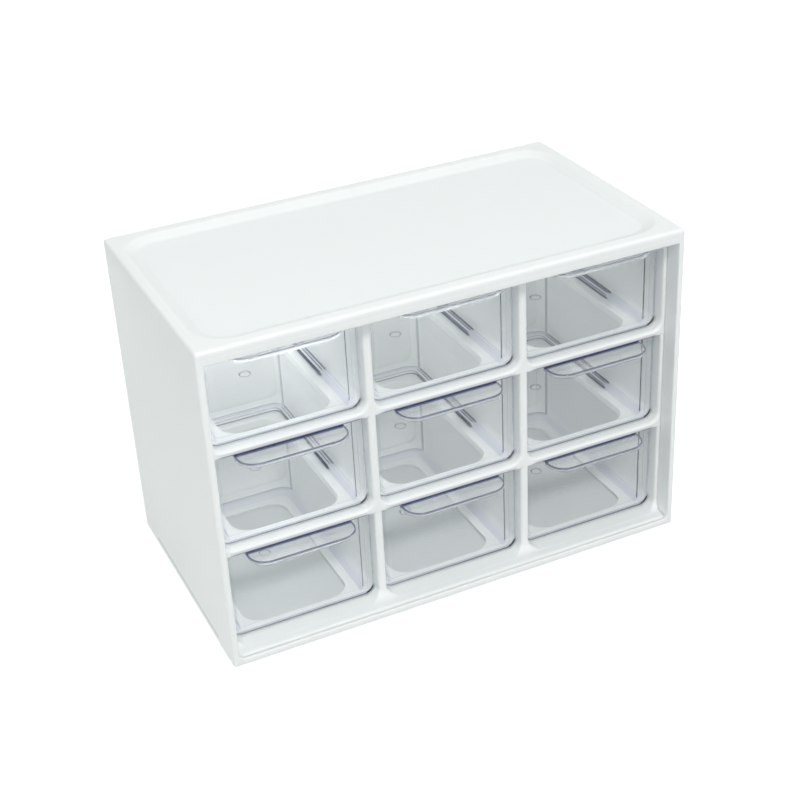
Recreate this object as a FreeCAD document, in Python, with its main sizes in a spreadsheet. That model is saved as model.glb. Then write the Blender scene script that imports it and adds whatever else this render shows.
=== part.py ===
import FreeCAD
import Part
import Sketcher
import math
import os

# A desktop drawer organizer, in millimetres.
# The origin is at the bottom centre: +X to the right, -Y to the front, +Z up.

DOCUMENT = FreeCAD.newDocument("drawer_organizer")
COLUMNS = ("left", "middle", "right")
ROWS = ("bottom", "middle", "top")

# Two lengths this close count as the same when edges are chosen
TOUCH = 0.01

# The numbers that a sketch gives to the points of a line or an arc, and to its own origin
START = 1
END = 2
CENTRE = 3
ORIGIN = -1

# The mark of a pattern's step that follows the common spacing
COMMON_SPACING = -1.0

# Sizes that are set by themselves
SIZES = (
    ("case_width", 175, "outer width of the case"),
    ("case_depth", 98, "outer depth of the case"),
    ("case_height", 120, "outer height of the case"),
    ("shell_side", 2.3, "wall of the shell at its left and right"),
    ("shell_back", 2.3, "wall of the shell at its back"),
    ("shell_floor", 2.3, "wall of the shell at its bottom"),
    ("shell_top", 5, "slab over the drawers, down from the rim of the tray"),
    ("shell_corner", 1.2, "radius of the four upright corners"),
    ("shell_brow", 1.1, "radius along the upper outer edges"),
    ("shell_heel", 0.5, "radius along the lower outer edges"),
    ("shell_lip", 0.5, "radius along the mouth of the shell"),
    ("shell_inside", 2.5, "radius of the shell's two lower inner corners"),
    ("tray_side", 3.5, "border beside the tray in the top, left and right"),
    ("tray_end", 4.6, "border beside the tray, front and back"),
    ("tray_depth", 2, "depth of the tray"),
    ("tray_slope", 4.3, "width of the tray's slanting wall"),
    ("tray_corner", 13, "radius of the tray's outer corners"),
    ("tray_crest", 1.5, "radius where the border turns into the slope"),
    ("tray_foot", 3, "radius where the slope runs out into the tray's floor"),
    ("grid_side", 1.2, "outer side walls of the grid"),
    ("grid_floor", 1.2, "bottom plate of the grid"),
    ("grid_setback", 7, "noses of the grid behind the rim of the shell"),
    ("divider_wall", 3, "upright walls between the columns"),
    ("shelf_wall", 2.5, "shelves between the rows"),
    ("nose_radius", 1.1, "rounding along the front of the walls and shelves"),
    ("nose_cove", 3, "radius where the noses run out into the ledge"),
    ("cell_corner", 4, "radius of the lower corners of each cell"),
    ("ledge_setback", 1, "front of the grid's bottom plate behind the rim"),
    ("ledge_step", 0.1, "step from the floor of the cells down to the ledge before them"),
    ("ledge_radius", 0.8, "rounding along the front of the bottom plate"),
    ("hole_width", 39, "width of the cut-outs in the shelves"),
    ("hole_front", 8.5, "plate in front of a cut-out, back from the noses"),
    ("hole_rear", 13.7, "plate behind a cut-out, up to the shell's back"),
    ("hole_corner", 7, "corner radius of the cut-outs"),
    ("stop_height", 3, "height of the stop bars behind the drawers"),
    ("stop_wall", 1.5, "thickness of the stop bars"),
    ("drawer_setback", 11, "face of the drawers behind the rim of the shell"),
    ("drawer_rear", 8.5, "space between the drawers and the shell's back"),
    ("drawer_play", 0.3, "clearance round a drawer's front and under it"),
    ("drawer_headroom", 1.1, "gap over the rim of a drawer"),
    ("panel_wall", 1.5, "front panel of a drawer"),
    ("panel_margin", 1.8, "how far the front panel stands out beside the tub"),
    ("panel_edge", 0.4, "rounding round the face of the front panel"),
    ("tub_wall", 1.3, "sides and back of a drawer"),
    ("tub_floor", 1.3, "floor of a drawer"),
    ("tub_back_corner", 4, "inner radius of the two back corners"),
    ("tub_front_corner", 1.2, "inner radius of the two front corners"),
    ("tub_fold", 1, "inner radius between the floor and the walls"),
    ("handle_width", 38.6, "width of the handle"),
    ("handle_setback", 0.5, "front of the handles behind the rim of the shell"),
    ("handle_wall", 1.6, "thickness of the handle"),
    ("handle_corner", 6.5, "radius of the handle's front corners"),
    ("handle_edge", 0.5, "rounding along the edges of the handle"),
    ("gate_width", 4, "round mark of the mould's gate in the drawer's floor"),
    ("gate_depth", 0.3, "depth of that mark"),
    ("rounding_share", 0.95, "most of a wall or of a corner's radius that a rounding beside it may take"),
)

# Sizes and places that follow from those
LAYOUT = (
    ("front", "-Sizes.case_depth / 2"),
    ("inner_width", "Sizes.case_width - 2 * Sizes.shell_side"),
    ("grid_top", "Sizes.case_height - Sizes.shell_top"),
    ("grid_front", "front + Sizes.grid_setback"),
    ("grid_back", "Sizes.case_depth / 2 - Sizes.shell_back"),
    ("ledge_front", "front + Sizes.ledge_setback"),
    ("first_floor", "Sizes.shell_floor + Sizes.grid_floor"),
    ("ledge_top", "first_floor - Sizes.ledge_step"),
    ("cell_width", "(inner_width - 2 * Sizes.grid_side - %d * Sizes.divider_wall) / %d"
     % (len(COLUMNS) - 1, len(COLUMNS))),
    ("cell_height", "(grid_top - first_floor - %d * Sizes.shelf_wall) / %d" % (len(ROWS) - 1, len(ROWS))),
    ("column_pitch", "cell_width + Sizes.divider_wall"),
    ("row_pitch", "cell_height + Sizes.shelf_wall"),
    ("first_column", "-column_pitch * %d / 2" % (len(COLUMNS) - 1)),
    ("drawer_front", "front + Sizes.drawer_setback"),
    ("drawer_depth", "grid_back - Sizes.drawer_rear - drawer_front"),
    ("stop_front", "drawer_front + drawer_depth + Sizes.drawer_play"),
    ("hole_start", "grid_front + Sizes.hole_front"),
    ("hole_length", "grid_back - Sizes.hole_rear - hole_start"),
    ("panel_width", "cell_width - 2 * Sizes.drawer_play"),
    ("panel_corner", "Sizes.cell_corner - Sizes.drawer_play"),
    ("rim_height", "cell_height - Sizes.drawer_headroom"),
    ("tub_width", "panel_width - 2 * Sizes.panel_margin"),
    ("tub_inner_width", "tub_width - 2 * Sizes.tub_wall"),
    ("tub_inner_depth", "drawer_depth - Sizes.panel_wall - Sizes.tub_wall"),
    ("tub_corner", "Sizes.tub_back_corner + Sizes.tub_wall"),
    ("tub_fold", "min(Sizes.tub_fold; Sizes.rounding_share * Sizes.tub_front_corner)"),
    ("tub_edge", "tub_fold + Sizes.tub_wall"),
    ("handle_reach", "Sizes.drawer_setback - Sizes.handle_setback"),
    ("tray_width", "Sizes.case_width - 2 * Sizes.tray_side"),
    ("tray_length", "Sizes.case_depth - 2 * Sizes.tray_end"),
    ("shell_brow", "min(Sizes.shell_brow; Sizes.rounding_share * Sizes.shell_corner)"),
    ("thinnest_nose", "min(Sizes.shelf_wall / 2; Sizes.divider_wall / 2; Sizes.grid_side)"),
    ("nose_radius", "min(Sizes.nose_radius; Sizes.rounding_share * thinnest_nose)"),
    ("ledge_radius", "min(Sizes.ledge_radius; Sizes.rounding_share * (ledge_top - Sizes.shell_floor))"),
)


def fill_sheets():
    """The driving sizes go into one sheet, and what follows from them into another."""
    sheet = DOCUMENT.addObject("Spreadsheet::Sheet", "Sizes")
    for row, (alias, value, meaning) in enumerate(SIZES, start=1):
        sheet.set("A%d" % row, alias)
        sheet.set("B%d" % row, str(value))
        sheet.set("C%d" % row, meaning)
        sheet.setAlias("B%d" % row, alias)
    DOCUMENT.recompute()
    layout = DOCUMENT.addObject("Spreadsheet::Sheet", "Layout")
    for row, (alias, formula) in enumerate(LAYOUT, start=1):
        layout.set("A%d" % row, alias)
        layout.set("B%d" % row, "=" + formula)
        layout.setAlias("B%d" % row, alias)
        DOCUMENT.recompute()


def size(name):
    """The number behind "Sizes.name" or "Layout.name", for choosing edges."""
    sheet, alias = name.split(".")
    return float(DOCUMENT.getObject(sheet).get(alias))


def new_body(label):
    body = DOCUMENT.addObject("PartDesign::Body", label)
    body.Label = label
    return body


def origin_feature(body, role):
    return next(item for item in body.Origin.OriginFeatures if item.Role == role)


def new_sketch(body, name, plane, shift):
    """A sketch on one of the body's own planes. Shift moves it along its own axes by expressions."""
    sketch = body.newObject("Sketcher::SketchObject", name)
    sketch.AttachmentSupport = [(origin_feature(body, plane), "")]
    sketch.MapMode = "FlatFace"
    for axis, expression in shift.items():
        sketch.setExpression("AttachmentOffset.Base." + axis, expression)
    return sketch


def rounded_box(sketch, width, height, lower=None, upper=None):
    """A rectangle centred across the sketch's upright axis, with its lower edge on the other one.

    Lower and upper name the radii of those corners, and a corner without a radius is square.
    """
    # The first size of the drawing, before the sheets drive it
    radius = 1.0
    half = 10.0
    top = 20.0
    up = FreeCAD.Vector(0, 0, 1)
    quarter = math.pi / 2
    # Each corner with its rule, the way to its centre of rounding and the angle where its arc starts
    corners = ((-half, 0, lower, 1, 1, 2 * quarter),
               (half, 0, lower, -1, 1, 3 * quarter),
               (half, top, upper, -1, -1, 0),
               (-half, top, upper, 1, -1, quarter))
    begins = []
    ends = []
    arcs = []
    for x, y, rule, inward_x, inward_y, angle in corners:
        if rule is None:
            begins.append(FreeCAD.Vector(x, y, 0))
            ends.append(FreeCAD.Vector(x, y, 0))
            arcs.append(None)
        else:
            centre = FreeCAD.Vector(x + inward_x * radius, y + inward_y * radius, 0)
            arc = Part.ArcOfCircle(Part.Circle(centre, up, radius), angle, angle + quarter)
            begins.append(arc.StartPoint)
            ends.append(arc.EndPoint)
            arcs.append(sketch.addGeometry(arc, False))
    lines = []
    for end, begin in zip(ends, begins[1:] + begins[:1]):
        lines.append(sketch.addGeometry(Part.LineSegment(end, begin), False))
    for index, arc in enumerate(arcs):
        before = lines[index - 1]
        after = lines[index]
        if arc is None:
            sketch.addConstraint(Sketcher.Constraint("Coincident", before, END, after, START))
        else:
            sketch.addConstraint(Sketcher.Constraint("Tangent", before, END, arc, START))
            sketch.addConstraint(Sketcher.Constraint("Tangent", arc, END, after, START))
    bottom, right, upside, left = lines
    sketch.addConstraint(Sketcher.Constraint("Horizontal", bottom))
    sketch.addConstraint(Sketcher.Constraint("Horizontal", upside))
    sketch.addConstraint(Sketcher.Constraint("Vertical", right))
    sketch.addConstraint(Sketcher.Constraint("Vertical", left))
    sketch.addConstraint(Sketcher.Constraint("Symmetric", bottom, START, bottom, END, ORIGIN, START))
    drive(sketch, Sketcher.Constraint("DistanceX", left, START, right, START, 2 * half), "width", width)
    drive(sketch, Sketcher.Constraint("DistanceY", bottom, START, upside, START, top), "height", height)
    for pair, rule, name in ((arcs[:2], lower, "lower"), (arcs[2:], upper, "upper")):
        if rule is not None:
            drive(sketch, Sketcher.Constraint("Radius", pair[0], radius), name, rule)
            sketch.addConstraint(Sketcher.Constraint("Equal", pair[0], pair[1]))


def drive(sketch, constraint, name, expression):
    """Adds a constraint whose value follows the sheets."""
    index = sketch.addConstraint(constraint)
    sketch.renameConstraint(index, name)
    sketch.setExpression("Constraints." + name, expression)


def pad(body, sketch, name, length, backwards=False):
    feature = body.newObject("PartDesign::Pad", name)
    feature.Profile = sketch
    feature.Reversed = backwards
    feature.setExpression("Length", length)
    sketch.Visibility = False
    return feature


def pocket(body, sketch, name, length=None, backwards=False):
    """Cuts a sketch into the body, to a length or through all of it."""
    feature = body.newObject("PartDesign::Pocket", name)
    feature.Profile = sketch
    feature.Reversed = backwards
    if length is None:
        feature.Type = "ThroughAll"
    else:
        feature.setExpression("Length", length)
    sketch.Visibility = False
    return feature


def repeat(body, feature, name, steps):
    """Repeats a feature along one or two axes: each step is an axis, a spacing and a count."""
    pattern = body.newObject("PartDesign::LinearPattern", name)
    pattern.Originals = [feature]
    for ending, (axis, spacing, count) in zip(("", "2"), steps):
        setattr(pattern, "Direction" + ending, (origin_feature(body, axis), [""]))
        setattr(pattern, "Mode" + ending, "Spacing")
        setattr(pattern, "Occurrences" + ending, count)
        setattr(pattern, "Spacings" + ending, [COMMON_SPACING] * (count - 1))
        pattern.setExpression("Offset" + ending, spacing)
    body.Tip = pattern
    return pattern


def near(a, b):
    return abs(a - b) < TOUCH


def chosen_edges(feature, wanted):
    """The names of a feature's edges that a test picks by their box."""
    DOCUMENT.recompute()
    names = []
    for index, edge in enumerate(feature.Shape.Edges, start=1):
        if wanted(edge.BoundBox):
            names.append("Edge%d" % index)
    return names


def fillet(body, feature, name, radius, wanted):
    """Rounds the edges that the test picks."""
    names = chosen_edges(feature, wanted)
    rounding = body.newObject("PartDesign::Fillet", name)
    rounding.Base = (feature, names)
    rounding.setExpression("Radius", radius)
    body.Tip = rounding
    DOCUMENT.recompute()
    return rounding


# Shell

def make_shell():
    body = new_body("case_shell")
    outline = new_sketch(body, "shell_outline", "XY_Plane", {"y": "Layout.front"})
    rounded_box(outline, "Sizes.case_width", "Sizes.case_depth", "Sizes.shell_corner", "Sizes.shell_corner")
    pad(body, outline, "shell_block", "Sizes.case_height")

    mouth = new_sketch(body, "shell_mouth", "XZ_Plane", {"y": "Sizes.shell_floor", "z": "-Layout.front"})
    rounded_box(mouth, "Layout.inner_width", "Layout.grid_top - Sizes.shell_floor", "Sizes.shell_inside")
    pocket(body, mouth, "shell_hollow", "Layout.grid_back - Layout.front")

    tray_edge = new_sketch(body, "tray_edge", "XY_Plane",
                           {"y": "Layout.front + Sizes.tray_end", "z": "Sizes.case_height"})
    rounded_box(tray_edge, "Layout.tray_width", "Layout.tray_length",
                "Sizes.tray_corner", "Sizes.tray_corner")
    tray_bed = new_sketch(body, "tray_bed", "XY_Plane",
                          {"y": "Layout.front + Sizes.tray_end + Sizes.tray_slope",
                           "z": "Sizes.case_height - Sizes.tray_depth"})
    rounded_box(tray_bed, "Layout.tray_width - 2 * Sizes.tray_slope",
                "Layout.tray_length - 2 * Sizes.tray_slope",
                "Sizes.tray_corner - Sizes.tray_slope", "Sizes.tray_corner - Sizes.tray_slope")
    tray = body.newObject("PartDesign::SubtractiveLoft", "tray")
    tray.Profile = tray_edge
    tray.Sections = [tray_bed]
    tray.Ruled = True
    body.Tip = tray

    top = size("Sizes.case_height")
    bed = top - size("Sizes.tray_depth")
    front = size("Layout.front")
    side = size("Sizes.case_width") / 2
    tray_side = size("Layout.tray_width") / 2

    def on_crest(box):
        return near(box.ZMin, top) and near(box.ZMax, top) and box.YMin > front + TOUCH \
            and box.XMin > -tray_side - TOUCH and box.XMax < tray_side + TOUCH and box.YMax < -front - TOUCH

    def on_bed(box):
        return near(box.ZMin, bed) and near(box.ZMax, bed)

    def on_brow(box):
        across = near(box.XMin, -side) or near(box.XMax, side)
        along = near(box.YMin, front) or near(box.YMax, -front)
        return near(box.ZMin, top) and near(box.ZMax, top) and (across or along)

    def on_heel(box):
        return near(box.ZMin, 0) and near(box.ZMax, 0)

    def on_mouth(box):
        inside = box.XMin > -side + TOUCH and box.XMax < side - TOUCH
        return near(box.YMin, front) and near(box.YMax, front) and inside and box.ZMin > TOUCH \
            and box.ZMax < top - TOUCH

    last = tray
    for name, radius, wanted in (("tray_crest", "Sizes.tray_crest", on_crest),
                                 ("tray_foot", "Sizes.tray_foot", on_bed),
                                 ("shell_brow", "Layout.shell_brow", on_brow),
                                 ("shell_heel", "Sizes.shell_heel", on_heel),
                                 ("shell_lip", "Sizes.shell_lip", on_mouth)):
        last = fillet(body, last, name, radius, wanted)
    return body


# Grid

def make_grid():
    body = new_body("drawer_grid")
    outline = new_sketch(body, "grid_outline", "XZ_Plane",
                         {"y": "Sizes.shell_floor", "z": "-Layout.ledge_front"})
    rounded_box(outline, "Layout.inner_width", "Layout.grid_top + Sizes.shelf_wall - Sizes.shell_floor",
                "Sizes.shell_inside")
    pad(body, outline, "grid_block", "Layout.grid_back - Layout.ledge_front", backwards=True)

    window = new_sketch(body, "cell_window", "XZ_Plane",
                        {"x": "Layout.first_column", "y": "Layout.first_floor", "z": "-Layout.ledge_front"})
    rounded_box(window, "Layout.cell_width", "Layout.cell_height", "Sizes.cell_corner")
    cell = pocket(body, window, "cell")
    repeat(body, cell, "cells", (("X_Axis", "Layout.column_pitch", len(COLUMNS)),
                                 ("Z_Axis", "Layout.row_pitch", len(ROWS))))

    # The block was one shelf too high, so that the upper cells open through its top
    lid_outline = new_sketch(body, "lid_outline", "XY_Plane",
                             {"y": "Layout.ledge_front", "z": "Layout.grid_top + Sizes.shelf_wall"})
    rounded_box(lid_outline, "Layout.inner_width", "Layout.grid_back - Layout.ledge_front")
    pocket(body, lid_outline, "trimmed_top", "Sizes.shelf_wall")

    # Seen from the side, the walls step back to the noses and run out into the ledge in a cove
    setback_outline = new_sketch(body, "setback_outline", "YZ_Plane",
                                 {"x": "Layout.ledge_front", "y": "Layout.ledge_top",
                                  "z": "-Layout.inner_width / 2"})
    rounded_box(setback_outline, "2 * (Layout.grid_front - Layout.ledge_front)",
                "Layout.grid_top - Sizes.shell_floor", "Sizes.nose_cove")
    setback = pocket(body, setback_outline, "setback", backwards=True)

    grid_front = size("Layout.grid_front")
    grid_top = size("Layout.grid_top")
    low = size("Sizes.shell_floor")
    side = size("Layout.inner_width") / 2

    def on_nose(box):
        inside = box.XMin > -side + TOUCH and box.XMax < side - TOUCH
        return near(box.YMin, grid_front) and near(box.YMax, grid_front) and inside \
            and low + TOUCH < box.ZMin < grid_top - TOUCH

    noses = fillet(body, setback, "noses", "Layout.nose_radius", on_nose)
    ledge_front = size("Layout.ledge_front")
    ledge_top = size("Layout.ledge_top")

    def on_ledge(box):
        return near(box.YMin, ledge_front) and near(box.YMax, ledge_front) \
            and near(box.ZMin, ledge_top) and near(box.ZMax, ledge_top)

    fillet(body, noses, "ledge_nose", "Layout.ledge_radius", on_ledge)

    hole_outline = new_sketch(body, "hole_outline", "XY_Plane",
                              {"x": "Layout.first_column", "y": "Layout.hole_start", "z": "Layout.grid_top"})
    rounded_box(hole_outline, "Sizes.hole_width", "Layout.hole_length",
                "Sizes.hole_corner", "Sizes.hole_corner")
    hole = pocket(body, hole_outline, "hole")
    repeat(body, hole, "holes", (("X_Axis", "Layout.column_pitch", len(COLUMNS)),))

    bar_outline = new_sketch(body, "stop_outline", "XZ_Plane",
                             {"y": "Layout.first_floor + Layout.cell_height - Sizes.stop_height",
                              "z": "-Layout.stop_front"})
    rounded_box(bar_outline, "Layout.inner_width", "Sizes.stop_height")
    bar = pad(body, bar_outline, "stop_bar", "Sizes.stop_wall", backwards=True)
    repeat(body, bar, "stop_bars", (("Z_Axis", "Layout.row_pitch", len(ROWS)),))
    return body


# Drawers

def make_drawer(label, column, row):
    """One clear drawer. It is drawn with its face on the body's XZ plane and its cell's floor at zero."""
    body = new_body(label)
    outline = new_sketch(body, label + "_outline", "XY_Plane",
                         {"y": "Sizes.panel_wall / 2", "z": "Sizes.drawer_play"})
    rounded_box(outline, "Layout.tub_width", "Layout.drawer_depth - Sizes.panel_wall / 2",
                upper="Layout.tub_corner")
    tub = pad(body, outline, label + "_tub", "Layout.rim_height - Sizes.drawer_play")
    base = size("Sizes.drawer_play")
    root = size("Sizes.panel_wall") / 2

    def on_keel(box):
        return near(box.ZMin, base) and near(box.ZMax, base) and box.YMax > root + TOUCH

    fillet(body, tub, label + "_keel", "Layout.tub_edge", on_keel)

    front = new_sketch(body, label + "_front", "XZ_Plane", {"y": "Sizes.drawer_play"})
    rounded_box(front, "Layout.panel_width", "Layout.rim_height - Sizes.drawer_play", "Layout.panel_corner")
    panel = pad(body, front, label + "_panel", "Sizes.panel_wall", backwards=True)

    rim = size("Layout.rim_height")

    def on_face(box):
        return near(box.YMin, 0) and near(box.YMax, 0) and box.ZMin < rim - TOUCH

    fillet(body, panel, label + "_panel_edge", "Sizes.panel_edge", on_face)

    cavity = new_sketch(body, label + "_cavity", "XY_Plane",
                        {"y": "Sizes.panel_wall", "z": "Layout.rim_height"})
    rounded_box(cavity, "Layout.tub_inner_width", "Layout.tub_inner_depth",
                "Sizes.tub_front_corner", "Sizes.tub_back_corner")
    hollow = pocket(body, cavity, label + "_hollow",
                    "Layout.rim_height - Sizes.drawer_play - Sizes.tub_floor")
    inner_floor = size("Sizes.drawer_play") + size("Sizes.tub_floor")

    def on_fold(box):
        return near(box.ZMin, inner_floor) and near(box.ZMax, inner_floor)

    fillet(body, hollow, label + "_fold", "Layout.tub_fold", on_fold)

    plan = new_sketch(body, label + "_handle_plan", "XY_Plane",
                      {"y": "-Layout.handle_reach", "z": "Layout.rim_height"})
    rounded_box(plan, "Sizes.handle_width", "Layout.handle_reach + Sizes.panel_wall", "Sizes.handle_corner")
    handle = pad(body, plan, label + "_handle", "Sizes.handle_wall", backwards=True)
    handle_low = rim - size("Sizes.handle_wall")

    def on_handle(box):
        level = box.ZLength < TOUCH and (near(box.ZMin, rim) or near(box.ZMin, handle_low))
        return level and box.YMin < -TOUCH

    fillet(body, handle, label + "_handle_edge", "Sizes.handle_edge", on_handle)

    mark = new_sketch(body, label + "_gate", "XY_Plane",
                      {"y": "Sizes.panel_wall + Layout.tub_inner_depth / 2",
                       "z": "Sizes.drawer_play + Sizes.tub_floor"})
    circle = Part.Circle()
    ring = mark.addGeometry(circle, False)
    mark.addConstraint(Sketcher.Constraint("Coincident", ring, CENTRE, ORIGIN, START))
    drive(mark, Sketcher.Constraint("Diameter", ring, 2 * circle.Radius), "width", "Sizes.gate_width")
    pocket(body, mark, label + "_gate_mark", "Sizes.gate_depth")

    body.setExpression("Placement.Base.x", "Layout.first_column + %d * Layout.column_pitch" % column)
    body.setExpression("Placement.Base.y", "Layout.drawer_front")
    body.setExpression("Placement.Base.z", "Layout.first_floor + %d * Layout.row_pitch" % row)
    return body


def make_parts():
    parts = [make_shell(), make_grid()]
    for row, row_name in enumerate(ROWS):
        for column, column_name in enumerate(COLUMNS):
            parts.append(make_drawer("drawer_%s_%s" % (row_name, column_name), column, row))
    return parts


def check(parts):
    """Stops before anything is written if a feature failed or a shape is not one sound solid."""
    for item in DOCUMENT.Objects:
        if "Invalid" in item.State or "Error" in item.State:
            raise RuntimeError("failed: %s %s" % (item.Name, item.State))
    for part in parts:
        if part.Shape.isNull() or not part.Shape.isValid() or len(part.Shape.Solids) != 1:
            raise RuntimeError("not one sound solid: " + part.Label)


fill_sheets()
PARTS = make_parts()
DOCUMENT.recompute()
check(PARTS)
os.makedirs("parts", exist_ok=True)
for item in PARTS:
    item.Shape.exportStep("parts/%s.step" % item.Label)
    print(item.Label, round(item.Shape.Volume, 1))
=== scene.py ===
import math
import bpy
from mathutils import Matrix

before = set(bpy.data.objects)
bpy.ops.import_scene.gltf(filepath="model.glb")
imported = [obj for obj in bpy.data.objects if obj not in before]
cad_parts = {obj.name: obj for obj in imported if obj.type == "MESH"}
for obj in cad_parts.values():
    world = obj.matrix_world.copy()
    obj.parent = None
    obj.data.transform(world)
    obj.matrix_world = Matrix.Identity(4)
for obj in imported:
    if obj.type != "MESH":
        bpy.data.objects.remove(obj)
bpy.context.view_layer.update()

from types import SimpleNamespace

import bpy
from mathutils import Matrix, Vector

# Looks of a desktop drawer organizer, in metres: white case and grid, clear drawers.

SHELL = "case_shell"
GRID = "drawer_grid"
DRAWERS = sorted(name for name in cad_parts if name.startswith("drawer_") and name != GRID)

# The cells: the lowest floor, their spacing and height, and half the width of the grid's noses
FIRST_FLOOR = 0.0035
ROW_PITCH = 0.038
COLUMN_PITCH = 0.057
CELL_HEIGHT = 0.0354
GRID_HALF = 0.0850

# Camera, from a perspective fit of the seven corners of the case that the photograph shows
CAMERA_PLACE = (-0.1985, -0.4487, 0.3388)
CAMERA_TURN = math.radians(-23.90)
CAMERA_DIP = math.radians(30.13)
CAMERA_ROLL = math.radians(-3.15)
CAMERA_LENS = 70.28
CAMERA_SENSOR = 36.0


def add_camera():
    data = bpy.data.cameras.new("camera")
    data.lens = CAMERA_LENS
    data.sensor_width = CAMERA_SENSOR
    camera = bpy.data.objects.new("camera", data)
    turn = Matrix.Rotation(CAMERA_TURN, 4, "Z")
    dip = Matrix.Rotation(math.pi / 2 - CAMERA_DIP, 4, "X")
    roll = Matrix.Rotation(CAMERA_ROLL, 4, "Z")
    camera.matrix_world = Matrix.Translation(CAMERA_PLACE) @ turn @ dip @ roll
    bpy.context.scene.collection.objects.link(camera)
    bpy.context.scene.camera = camera


# Nodes

# The sockets of a colour mix
MIX_FACTOR = 0
MIX_FIRST = 6
MIX_SECOND = 7
MIX_RESULT = 2

# The factor of a vector's scaling
SCALE_FACTOR = 3


def new_material(name):
    material = bpy.data.materials.new(name)
    material.use_nodes = True
    material.node_tree.nodes.clear()
    return material


def feed(tree, socket, value):
    """Gives a socket a value or another node's output."""
    if isinstance(value, bpy.types.NodeSocket):
        tree.links.new(value, socket)
    else:
        socket.default_value = value


def add_node(tree, kind, inputs=None, **settings):
    """A node with its settings and inputs."""
    node = tree.nodes.new(kind)
    for key, value in settings.items():
        setattr(node, key, value)
    for key, value in (inputs or {}).items():
        feed(tree, node.inputs[key], value)
    return node


def math_node(tree, operation, *values):
    return add_node(tree, "ShaderNodeMath", dict(enumerate(values)), operation=operation).outputs[0]


def product(tree, first, *others):
    for other in others:
        first = math_node(tree, "MULTIPLY", first, other)
    return first


def above(tree, value, low):
    return math_node(tree, "GREATER_THAN", value, low)


def below(tree, value, high):
    return math_node(tree, "LESS_THAN", value, high)


def inside(tree, value, low, high):
    return product(tree, above(tree, value, low), below(tree, value, high))


def size_of(tree, value):
    return math_node(tree, "ABSOLUTE", value)


def opposite(tree, share):
    return math_node(tree, "SUBTRACT", 1.0, share)


def between(tree, value, ends, results):
    """A number that goes from one result to the other while a value goes from one end to the other."""
    inputs = {"Value": value, "From Min": ends[0], "From Max": ends[1], "To Min": results[0], "To Max": results[1]}
    return add_node(tree, "ShaderNodeMapRange", inputs).outputs["Result"]


def choose(tree, factor, first, second):
    """A colour that goes from the first to the second with a factor from 0 to 1."""
    node = add_node(tree, "ShaderNodeMix", {MIX_FACTOR: factor}, data_type="RGBA")
    feed(tree, node.inputs[MIX_FIRST], first)
    feed(tree, node.inputs[MIX_SECOND], second)
    return node.outputs[MIX_RESULT]


def ramp(tree, factor, stops):
    """A colour that follows a pattern through stops of (place, colour)."""
    node = add_node(tree, "ShaderNodeValToRGB", {0: factor})
    elements = node.color_ramp.elements
    while len(elements) < len(stops):
        elements.new(1.0)
    for element, (place, color) in zip(elements, stops):
        element.position = place
        element.color = color
    return node.outputs[0]


def split(tree, vector):
    return add_node(tree, "ShaderNodeSeparateXYZ", {0: vector}).outputs


def own_place(tree):
    """The place on the object, in its own coordinates."""
    return add_node(tree, "ShaderNodeTexCoord").outputs["Object"]


def noise(tree, scale, detail, stretch=(1.0, 1.0, 1.0)):
    """A noise pattern on the object's own coordinates, with its scale in cells per metre."""
    mapped = add_node(tree, "ShaderNodeMapping", {"Vector": own_place(tree), "Scale": stretch}).outputs["Vector"]
    inputs = {"Vector": mapped, "Scale": scale, "Detail": detail}
    return add_node(tree, "ShaderNodeTexNoise", inputs).outputs["Fac"]


def bump(tree, height, distance, strength, normal=None):
    inputs = {"Height": height, "Distance": distance, "Strength": strength}
    if normal is not None:
        inputs["Normal"] = normal
    return add_node(tree, "ShaderNodeBump", inputs).outputs["Normal"]


def across_cell(tree, x):
    """The distance from the middle of the column, to the right."""
    return math_node(tree, "WRAP", x, -COLUMN_PITCH / 2, COLUMN_PITCH / 2)


def height_in_cell(tree, z):
    """The height over the floor of the row."""
    return math_node(tree, "WRAP", math_node(tree, "SUBTRACT", z, FIRST_FLOOR), 0.0, ROW_PITCH)


# White moulded plastic

# Noise patterns, each with its cells per metre and its detail
CLOUDS = (14.0, 3.0)
SHEEN = (40.0, 2.0)
WAVES = (30.0, 1.0)
GRAIN = (2600.0, 2.0)

# Bumps, each with its height in metres and its strength
WAVE_BUMP = (0.00002, 0.1)
GRAIN_BUMP = (0.00002, 0.25)

# The part of a noise pattern that a smooth change follows, and one with more contrast
SMOOTH = (0.1, 0.9)
SHARP = (0.3, 0.7)

WHITE_FIRST = (0.955, 0.975, 0.965, 1.0)
WHITE_SECOND = (0.96, 0.978, 0.97, 1.0)
WHITE_ROUGHNESS = (0.28, 0.34)
WHITE_IOR = 1.52
SCATTER_LENGTH = 0.001
WHITE_SCATTER = (1.0, 1.0, 1.0)

# Painted shade on the shell's floor in the cut-outs under the bottom drawers: its height and depth. Nothing limits
# it across, so the same band also runs low along the outer sides.
SUNK_FLOOR = (0.0020, 0.0034)
SUNK_DEPTH = (-0.0340, 0.0335)
SUNK_PAINTED_SHADE = (0.70, 0.715, 0.715, 1.0)

# Painted shade on the shelves' front noses: their depth, where they end at the uprights, and how they turn down
NOSE = (-0.0425, -0.0395)
NOSE_FADE = (0.0235, 0.0262)
NOSE_TURN = (0.1, 0.5)
NOSE_PAINTED_SHADE = (0.74, 0.72, 0.76, 1.0)
UNDER_TURN = -0.30
UNDER_PAINTED_SHADOW = (0.15, 0.15, 0.18, 1.0)

# Painted shade: a cooler, darker tone on the floor of the tray
TRAY_FLOOR = (0.1175, 0.1183)
TRAY_PAINTED_SHADE = (0.91, 0.955, 0.97, 1.0)
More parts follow.
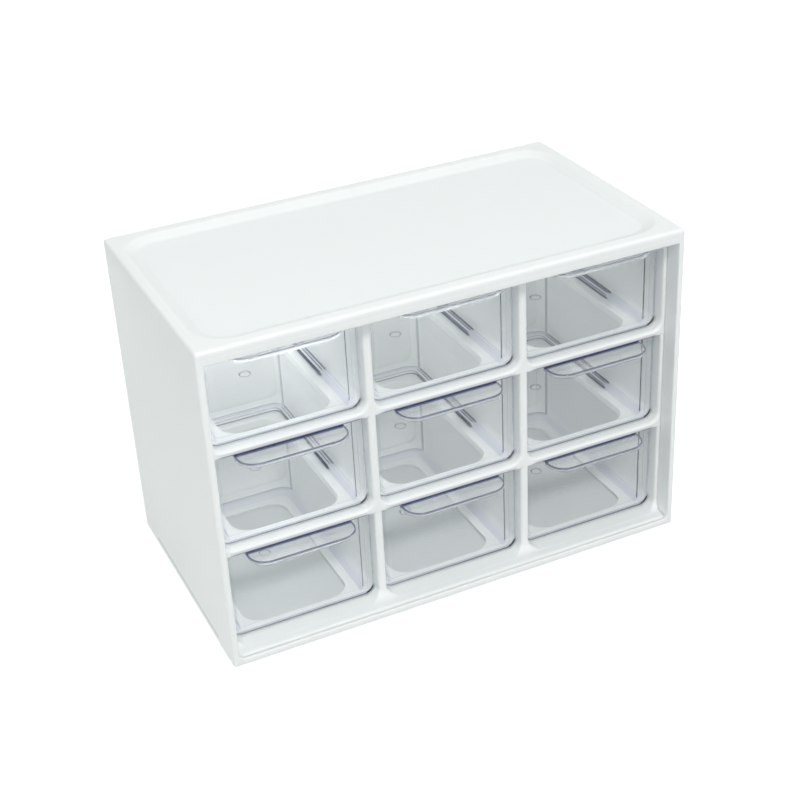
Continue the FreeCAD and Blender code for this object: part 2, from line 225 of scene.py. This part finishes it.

# Painted light: a faint glow inside the case, standing in for light through the thin walls; the places between
# which it fades, and its share at the faint end
GLOW_SIDES = (0.0863, 0.0865)
GLOW_DEPTH = (-0.038, 0.040)
GLOW_BACK = (0.0468, 0.0470)
GLOW_HEIGHT = (0.044, 0.095)
GLOW_TOP = (0.1152, 0.1154)
GLOW_ACROSS = (-0.070, 0.050)
GLOW_LOW = 0.06
GLOW_LEFT = 3.6
GLOW_BEND = 2.0
GLOW_LEVEL = 0.135
GLOW_COLOR = (1.0, 0.995, 0.985, 1.0)


def painted_glow(tree):
    """Painted light: a faint emission on the inside, standing in for the light that comes through the thin walls,
    more at the back, top and left.
    """
    x, y, z = split(tree, own_place(tree))
    across = between(tree, size_of(tree, x), GLOW_SIDES, (1.0, 0.0))
    deep = math_node(tree, "POWER", between(tree, y, GLOW_DEPTH, (0.0, 1.0)), GLOW_BEND)
    back = between(tree, y, GLOW_BACK, (1.0, 0.0))
    high = between(tree, z, GLOW_HEIGHT, (GLOW_LOW, 1.0))
    top = between(tree, z, GLOW_TOP, (1.0, 0.0))
    left = between(tree, x, GLOW_ACROSS, (GLOW_LEFT, 1.0))
    return product(tree, across, deep, back, high, top, left, GLOW_LEVEL)


def paint_nose_shade(tree, tint, x, y, z):
    """Paints shade on the lower half of the shelves' front noses, and a darker painted shadow on their undersides.
    """
    fade = between(tree, size_of(tree, across_cell(tree, x)), NOSE_FADE, (1.0, 0.0))
    nose = product(tree, inside(tree, y, *NOSE), above(tree, height_in_cell(tree, z), CELL_HEIGHT),
                   inside(tree, x, -GRID_HALF, GRID_HALF), fade)
    lean = split(tree, add_node(tree, "ShaderNodeNewGeometry").outputs["Normal"])
    lower = product(tree, nose, between(tree, lean["Z"], NOSE_TURN, (1.0, 0.0)))
    under = product(tree, nose, below(tree, lean["Z"], UNDER_TURN))
    return choose(tree, under, choose(tree, lower, tint, NOSE_PAINTED_SHADE), UNDER_PAINTED_SHADOW)


def white_plastic():
    material = new_material("white_plastic")
    tree = material.node_tree
    x, y, z = split(tree, own_place(tree))
    clouds = between(tree, noise(tree, *CLOUDS), SMOOTH, (0.0, 1.0))
    tint = choose(tree, clouds, WHITE_FIRST, WHITE_SECOND)
    # Painted shade: the sunk floor under the bottom drawers is darkened
    sunk = product(tree, inside(tree, z, *SUNK_FLOOR), inside(tree, y, *SUNK_DEPTH))
    tint = choose(tree, sunk, tint, SUNK_PAINTED_SHADE)
    # Painted shade on the lower half and underside of the shelves' noses
    tint = paint_nose_shade(tree, tint, x, y, z)
    # Painted shade on the tray's floor
    tint = choose(tree, inside(tree, z, *TRAY_FLOOR), tint, TRAY_PAINTED_SHADE)
    waves = bump(tree, noise(tree, *WAVES), *WAVE_BUMP)
    shader = add_node(tree, "ShaderNodeBsdfPrincipled", {
        "Base Color": tint,
        "Roughness": between(tree, noise(tree, *SHEEN), SMOOTH, WHITE_ROUGHNESS),
        "IOR": WHITE_IOR,
        "Normal": bump(tree, noise(tree, *GRAIN), *GRAIN_BUMP, waves),
        "Subsurface Weight": 1.0,
        "Subsurface Radius": WHITE_SCATTER,
        "Subsurface Scale": SCATTER_LENGTH,
        # Painted light: the inside of the case glows faintly
        "Emission Color": GLOW_COLOR,
        "Emission Strength": painted_glow(tree),
    })
    output = add_node(tree, "ShaderNodeOutputMaterial")
    tree.links.new(shader.outputs[0], output.inputs["Surface"])
    return material


# Clear moulded plastic

SMUDGES = (45.0, 5.0)
FLOW = (38.0, 1.0)
FLOW_STRETCH = (1.0, 1.0, 0.5)
FLOW_BUMP = (0.0003, 0.15)

# Colours of the see-through plastic: flat, on rounded folds, and in the lines along folds and edges. The dark
# lines are painted shade, where the real folds and edges bend light away.
CLEAR_FLAT = (1.0, 1.0, 1.0, 1.0)
CLEAR_ROUND = (0.93, 0.935, 0.96, 1.0)
CLEAR_LINE = (0.22, 0.24, 0.36, 1.0)
ROOT_PAINTED_SHADOW = (0.010, 0.022, 0.16, 1.0)
FOOT_PAINTED_SHADOW = (0.02, 0.02, 0.04, 1.0)
EDGE_PAINTED_HIGHLIGHT = (0.95, 0.955, 0.955, 1.0)
EDGE_PAINTED_SHADE = (0.78, 0.80, 0.86, 1.0)
BRIM_PAINTED_SHADE = (0.66, 0.69, 0.80, 1.0)
TUB_LINE = (0.10, 0.12, 0.19, 1.0)
TUB_HEM = (0.50, 0.52, 0.58, 1.0)
TUB_FAINT = (0.80, 0.81, 0.88, 1.0)
TUB_FRONT = (0.08, 0.09, 0.14, 1.0)
TUB_UPRIGHT = (0.52, 0.54, 0.60, 1.0)
GATE_PAINTED_SHADE = (0.25, 0.26, 0.30, 1.0)
GATE_PAINTED_HIGHLIGHT = (0.60, 0.61, 0.64, 1.0)

# Places along the depth: the handle's root, the panel's face, the tub behind it and its front corners
ROOT_STRIP = (-0.0402, -0.0364)
PANEL_FACE = (-0.0382, -0.0374)
PANEL_CORNER = (-0.0382, -0.0370)
TUB_START = -0.0363
TUB_LINES = -0.0352
FRONT_LINE = (-0.0354, -0.0347)
BACK_CORNER = 0.0325

# Heights: the tub's brim in its cell, and where the handles of the top row are
BRIM_HEIGHT = 0.0343
TOP_HANDLES = 0.105

# Ways that the surface faces, as shares of its outward direction
LEVEL = 0.9
DOWNWARD = -0.1
LOW_RIGHT = (0.30, -0.30)
RIM_FACE = 0.8
UPRIGHT_FACE = 0.3
SIDE_FACE = 0.25
INNER_SIDE = -0.8
BACK_TURN = (0.90, 0.975)
STANDING = 0.97

# Painted shade lines along the folds between floor and wall, in shares of a fold's turn
FOLD_THIN = 0.08
FOLD_BOLD = 0.20
FOLD_START = (0.01, 0.02)
FOLD_END = (0.97, 0.985)
FOLD_SOFT = 0.05
FOLD_GAP = 0.03
HANDLE_TURNS = (0.02, 0.10, 0.88, 0.97)

# Where the side folds carry a bold line of painted shade: behind this depth and above this height
BOLD_START = -0.0120
BOLD_LOW = 0.040

# The painted shadow along the panels' lower edge grows to the right: its places and its shares
FOOT_ACROSS = (-0.022, 0.016)
FOOT_SHARE = (0.55, 1.0)

# The round mark in the middle of each floor
GATE_MIDDLE = 0.0002
GATE_RING = (0.00175, 0.00215)

CLEAR_ROUGHNESS = (0.01, 0.05)
CLEAR_IOR = 1.57
CLEARNESS = 0.97
HANDLE_CLEARNESS = -0.11
WALL_CLEARNESS = -0.45
BODY_COLOR = (0.50, 0.55, 0.72, 1.0)
BODY_DENSITY = 5.0

# Gloss of the thin walls: seen straight on, its growth towards the edge of sight, and on upright rims
FACING_BLEND = 0.5
FACING_BEND = 4.0
GLOSS_STRAIGHT = 0.05
GLOSS_GROWTH = 0.6
GLOSS_RIM = 0.20


def measure_drawer(tree):
    """Where a point of a drawer is, and which way its surface faces, outwards on both of its sides."""
    x, depth, z = split(tree, own_place(tree))
    surface = add_node(tree, "ShaderNodeNewGeometry").outputs
    sign = math_node(tree, "MULTIPLY_ADD", surface["Backfacing"], -2.0, 1.0)
    outward = add_node(tree, "ShaderNodeVectorMath", {0: surface["Normal"], SCALE_FACTOR: sign}, operation="SCALE")
    side, face, lift = split(tree, outward.outputs[0])
    flatness = size_of(tree, lift)
    rise = math_node(tree, "MULTIPLY", math_node(tree, "ARCCOSINE", flatness), 2 / math.pi)
    handle = below(tree, depth, PANEL_FACE[0])
    return SimpleNamespace(
        depth=depth, z=z, across=across_cell(tree, x), height=height_in_cell(tree, z), side=side, lift=lift,
        facing_out=size_of(tree, face), flatness=flatness, rise=rise, handle=handle, wall=opposite(tree, handle))


def fold_lines(tree, rise, line, width):
    """Where a fold starts at the floor it draws one line of painted shade, and where it ends in the wall another.
    """
    start, first = FOLD_START
    last, end = FOLD_END
    return ramp(tree, rise, (
        (start, CLEAR_FLAT), (first, line), (width, line), (width + FOLD_SOFT, CLEAR_ROUND),
        (last - FOLD_GAP - width, CLEAR_ROUND), (last - width, line), (last, line), (end, CLEAR_FLAT)))


def add_gate_mark(tree, at, color):
    """The round mark of the gate in the middle of each floor, a real mark: its dark rear half is painted shade and
    its lighter front half a painted highlight.
    """
    along = math_node(tree, "SUBTRACT", at.depth, GATE_MIDDLE)
    squares = [math_node(tree, "POWER", value, 2.0) for value in (at.across, along)]
    reach = math_node(tree, "SQRT", math_node(tree, "ADD", *squares))
    ring = product(tree, inside(tree, reach, *GATE_RING), above(tree, at.lift, LEVEL))
    rear = above(tree, along, 0.0)
    color = choose(tree, product(tree, ring, opposite(tree, rear)), color, GATE_PAINTED_HIGHLIGHT)
    return choose(tree, product(tree, ring, rear), color, GATE_PAINTED_SHADE)


def tub_lines(tree, at):
    """Painted shade lines along the folds of the tub, in its upright back corners and round the gate mark."""
    sideways = below(tree, at.facing_out, SIDE_FACE)
    folds = choose(tree, sideways, fold_lines(tree, at.rise, TUB_HEM, FOLD_THIN),
                   fold_lines(tree, at.rise, TUB_FAINT, FOLD_THIN))
    bold = product(tree, above(tree, at.depth, BOLD_START), above(tree, at.z, BOLD_LOW), sideways)
    folds = choose(tree, bold, folds, fold_lines(tree, at.rise, TUB_LINE, FOLD_BOLD))
    upright = product(tree, inside(tree, at.side, *BACK_TURN), above(tree, at.depth, BACK_CORNER),
                      above(tree, at.rise, STANDING))
    return add_gate_mark(tree, at, choose(tree, upright, folds, TUB_UPRIGHT))


def handle_lines(tree, at):
    """Painted shade lines along the rounded edges of the handle, which the top row shows only faintly."""
    start, first, last, end = HANDLE_TURNS
    edges = ramp(tree, at.rise, ((start, CLEAR_FLAT), (first, CLEAR_LINE), (last, CLEAR_LINE), (end, CLEAR_FLAT)))
    return choose(tree, above(tree, at.z, TOP_HANDLES), edges, CLEAR_ROUND)


def foot_shadow_share(tree, at):
    """How dark the painted shadow is along the panel's lower edge and on its lower right corner."""
    foot = product(tree, inside(tree, at.depth, *PANEL_FACE), below(tree, at.lift, DOWNWARD))
    corner = product(tree, above(tree, at.side, LOW_RIGHT[0]), below(tree, at.lift, LOW_RIGHT[1]),
                     inside(tree, at.depth, *PANEL_CORNER))
    return product(tree, math_node(tree, "MAXIMUM", foot, corner),
                   between(tree, at.across, FOOT_ACROSS, FOOT_SHARE))


def drawer_colors(tree, at, rim):
    """The colour seen through the drawer, with its painted shade lines and shadows, and the colour of its body,
    with its painted highlight.
    """
    lines = choose(tree, above(tree, at.depth, TUB_START), handle_lines(tree, at), tub_lines(tree, at))
    lines = choose(tree, inside(tree, at.depth, PANEL_FACE[0], TUB_LINES), lines, CLEAR_FLAT)
    # Painted shade along the panel's rims, seen through them
    lines = choose(tree, rim, lines, EDGE_PAINTED_SHADE)
    inner_side = product(tree, below(tree, at.side, INNER_SIDE), above(tree, at.across, 0.0))
    # Painted shade: a dark line on the tub's inner right wall, just behind the panel
    lines = choose(tree, product(tree, inner_side, inside(tree, at.depth, *FRONT_LINE)), lines, TUB_FRONT)
    # Painted shade along the tub's brim
    lines = choose(tree, product(tree, above(tree, at.height, BRIM_HEIGHT), at.wall), lines, BRIM_PAINTED_SHADE)
    # Painted shadow along the panel's lower edge, darker to the right
    lines = choose(tree, foot_shadow_share(tree, at), lines, FOOT_PAINTED_SHADOW)
    # Painted shadow: a dark navy strip on the handle's root, under the shelf's nose
    root = product(tree, inside(tree, at.depth, *ROOT_STRIP), above(tree, at.flatness, LEVEL))
    # Painted highlight: the panel's rims are whitened
    body = choose(tree, root, choose(tree, rim, lines, EDGE_PAINTED_HIGHLIGHT), ROOT_PAINTED_SHADOW)
    return lines, body


def clear_share(tree, at, rim):
    """How much of a wall simply lets light through, all of it for shadows and soft light."""
    facing = add_node(tree, "ShaderNodeLayerWeight", {"Blend": FACING_BLEND}).outputs["Facing"]
    growth = math_node(tree, "POWER", facing, FACING_BEND)
    gloss = math_node(tree, "MULTIPLY_ADD", growth, GLOSS_GROWTH, GLOSS_STRAIGHT)
    upright_rim = product(tree, rim, below(tree, at.flatness, UPRIGHT_FACE))
    gloss = math_node(tree, "MULTIPLY_ADD", upright_rim, GLOSS_RIM, gloss)
    thin = product(tree, at.wall, opposite(tree, gloss))
    path = add_node(tree, "ShaderNodeLightPath").outputs
    soft = math_node(tree, "MAXIMUM", path["Is Shadow Ray"], path["Is Diffuse Ray"])
    return math_node(tree, "MAXIMUM", soft, thin)


def clear_plastic():
    material = new_material("clear_plastic")
    tree = material.node_tree
    at = measure_drawer(tree)
    rim = product(tree, inside(tree, at.depth, PANEL_FACE[0], TUB_START), below(tree, at.facing_out, RIM_FACE))
    lines, body_color = drawer_colors(tree, at, rim)
    clearness = math_node(tree, "MULTIPLY_ADD", at.handle, HANDLE_CLEARNESS, CLEARNESS)
    shader = add_node(tree, "ShaderNodeBsdfPrincipled", {
        "Base Color": body_color,
        "Roughness": between(tree, noise(tree, *SMUDGES), SHARP, CLEAR_ROUGHNESS),
        "IOR": CLEAR_IOR,
        "Transmission Weight": math_node(tree, "MULTIPLY_ADD", at.wall, WALL_CLEARNESS, clearness),
        "Normal": bump(tree, noise(tree, *FLOW, stretch=FLOW_STRETCH), *FLOW_BUMP),
    })
    clear = add_node(tree, "ShaderNodeBsdfTransparent", {"Color": lines})
    mix = add_node(tree, "ShaderNodeMixShader", {
        0: clear_share(tree, at, rim), 1: shader.outputs[0], 2: clear.outputs[0]})
    body = add_node(tree, "ShaderNodeVolumeAbsorption", {"Color": BODY_COLOR, "Density": BODY_DENSITY})
    output = add_node(tree, "ShaderNodeOutputMaterial")
    tree.links.new(mix.outputs[0], output.inputs["Surface"])
    tree.links.new(body.outputs[0], output.inputs["Volume"])
    return material


def dress(name, material):
    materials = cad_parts[name].data.materials
    materials.clear()
    materials.append(material)


# Studio

FLOOR_HALF = 6.0
FLOOR_CLOUDS = (3.0, 2.0)
FLOOR_FIRST = (0.94, 0.94, 0.94, 1.0)
FLOOR_SECOND = (0.95, 0.95, 0.95, 1.0)
FLOOR_ROUGHNESS = 0.9
FLOOR_GLOSS = 0.2
FLOOR_GLOW = 0.4
PURE_WHITE = (1.0, 1.0, 1.0, 1.0)

# Light from all round: its colour and level, and how it grows to the right, to the back and upwards
WORLD_COLOR = (0.94, 1.0, 0.985, 1.0)
WORLD_LEVEL = 0.56
WORLD_PULL = (0.09, 0.02, 0.22)

# Each softbox: name, place, target, size, watts, and whether the camera sees it
SOFTBOXES = (
    ("key", (-0.10, -0.75, 0.95), (0, 0, 0.06), (0.20, 0.20), 5.0, True),
    ("front", (-0.4, -0.7, 0.20), (0, 0, 0.06), (0.3, 0.3), 0.4, True),
    ("low_left", (-0.26, -0.07, 0.005), (-0.0875, -0.03, 0.03), (0.10, 0.03), 0.035, False),
    ("rear", (0.25, 0.95, 0.055), (0, 0.05, 0.055), (0.5, 0.10), 1.0, False),
)

# How often light may bounce, enough to get through the drawers' many clear walls
BOUNCES = {
    "max_bounces": 48,
    "diffuse_bounces": 12,
    "glossy_bounces": 48,
    "transmission_bounces": 48,
    "transparent_max_bounces": 32,
}


def add_floor():
    half = FLOOR_HALF
    mesh = bpy.data.meshes.new("floor")
    mesh.from_pydata([(-half, -half, 0), (half, -half, 0), (half, half, 0), (-half, half, 0)], [], [(0, 1, 2, 3)])
    floor = bpy.data.objects.new("floor", mesh)
    bpy.context.scene.collection.objects.link(floor)
    material = new_material("floor_paint")
    tree = material.node_tree
    shader = add_node(tree, "ShaderNodeBsdfPrincipled", {
        "Base Color": choose(tree, noise(tree, *FLOOR_CLOUDS), FLOOR_FIRST, FLOOR_SECOND),
        "Roughness": FLOOR_ROUGHNESS,
        "Specular IOR Level": FLOOR_GLOSS,
        "Emission Color": PURE_WHITE,
        "Emission Strength": FLOOR_GLOW,
    })
    output = add_node(tree, "ShaderNodeOutputMaterial")
    tree.links.new(shader.outputs[0], output.inputs["Surface"])
    mesh.materials.append(material)
    floor.visible_diffuse = False
    floor.visible_shadow = False


def add_softbox(name, place, target, size, power, seen):
    data = bpy.data.lights.new(name, "AREA")
    data.shape = "RECTANGLE"
    data.size, data.size_y = size
    data.energy = power
    light = bpy.data.objects.new(name, data)
    aim = (Vector(target) - Vector(place)).to_track_quat("-Z", "Y")
    light.matrix_world = Matrix.Translation(place) @ aim.to_matrix().to_4x4()
    light.visible_camera = seen
    bpy.context.scene.collection.objects.link(light)


def add_world():
    """Soft light from all round, with a plain white backdrop for the camera alone."""
    world = bpy.data.worlds.new("studio")
    world.use_nodes = True
    tree = world.node_tree
    tree.nodes.clear()
    way = add_node(tree, "ShaderNodeTexCoord").outputs["Generated"]
    pull = add_node(tree, "ShaderNodeVectorMath", {0: way, 1: WORLD_PULL}, operation="DOT_PRODUCT")
    strength = between(tree, pull.outputs["Value"], (-WORLD_LEVEL, WORLD_LEVEL), (0.0, 2 * WORLD_LEVEL))
    light = add_node(tree, "ShaderNodeBackground", {"Color": WORLD_COLOR, "Strength": strength})
    backdrop = add_node(tree, "ShaderNodeBackground", {"Color": PURE_WHITE, "Strength": 1.0})
    seen = add_node(tree, "ShaderNodeLightPath").outputs["Is Camera Ray"]
    mix = add_node(tree, "ShaderNodeMixShader", {0: seen, 1: light.outputs[0], 2: backdrop.outputs[0]})
    output = add_node(tree, "ShaderNodeOutputWorld")
    tree.links.new(mix.outputs[0], output.inputs["Surface"])
    bpy.context.scene.world = world


def set_rendering():
    scene = bpy.context.scene
    scene.view_settings.view_transform = "Standard"
    for limit, bounces in BOUNCES.items():
        setattr(scene.cycles, limit, bounces)


add_camera()
white = white_plastic()
for name in (SHELL, GRID):
    dress(name, white)
clear = clear_plastic()
for name in DRAWERS:
    dress(name, clear)
add_floor()
add_world()
for softbox in SOFTBOXES:
    add_softbox(*softbox)
set_rendering()
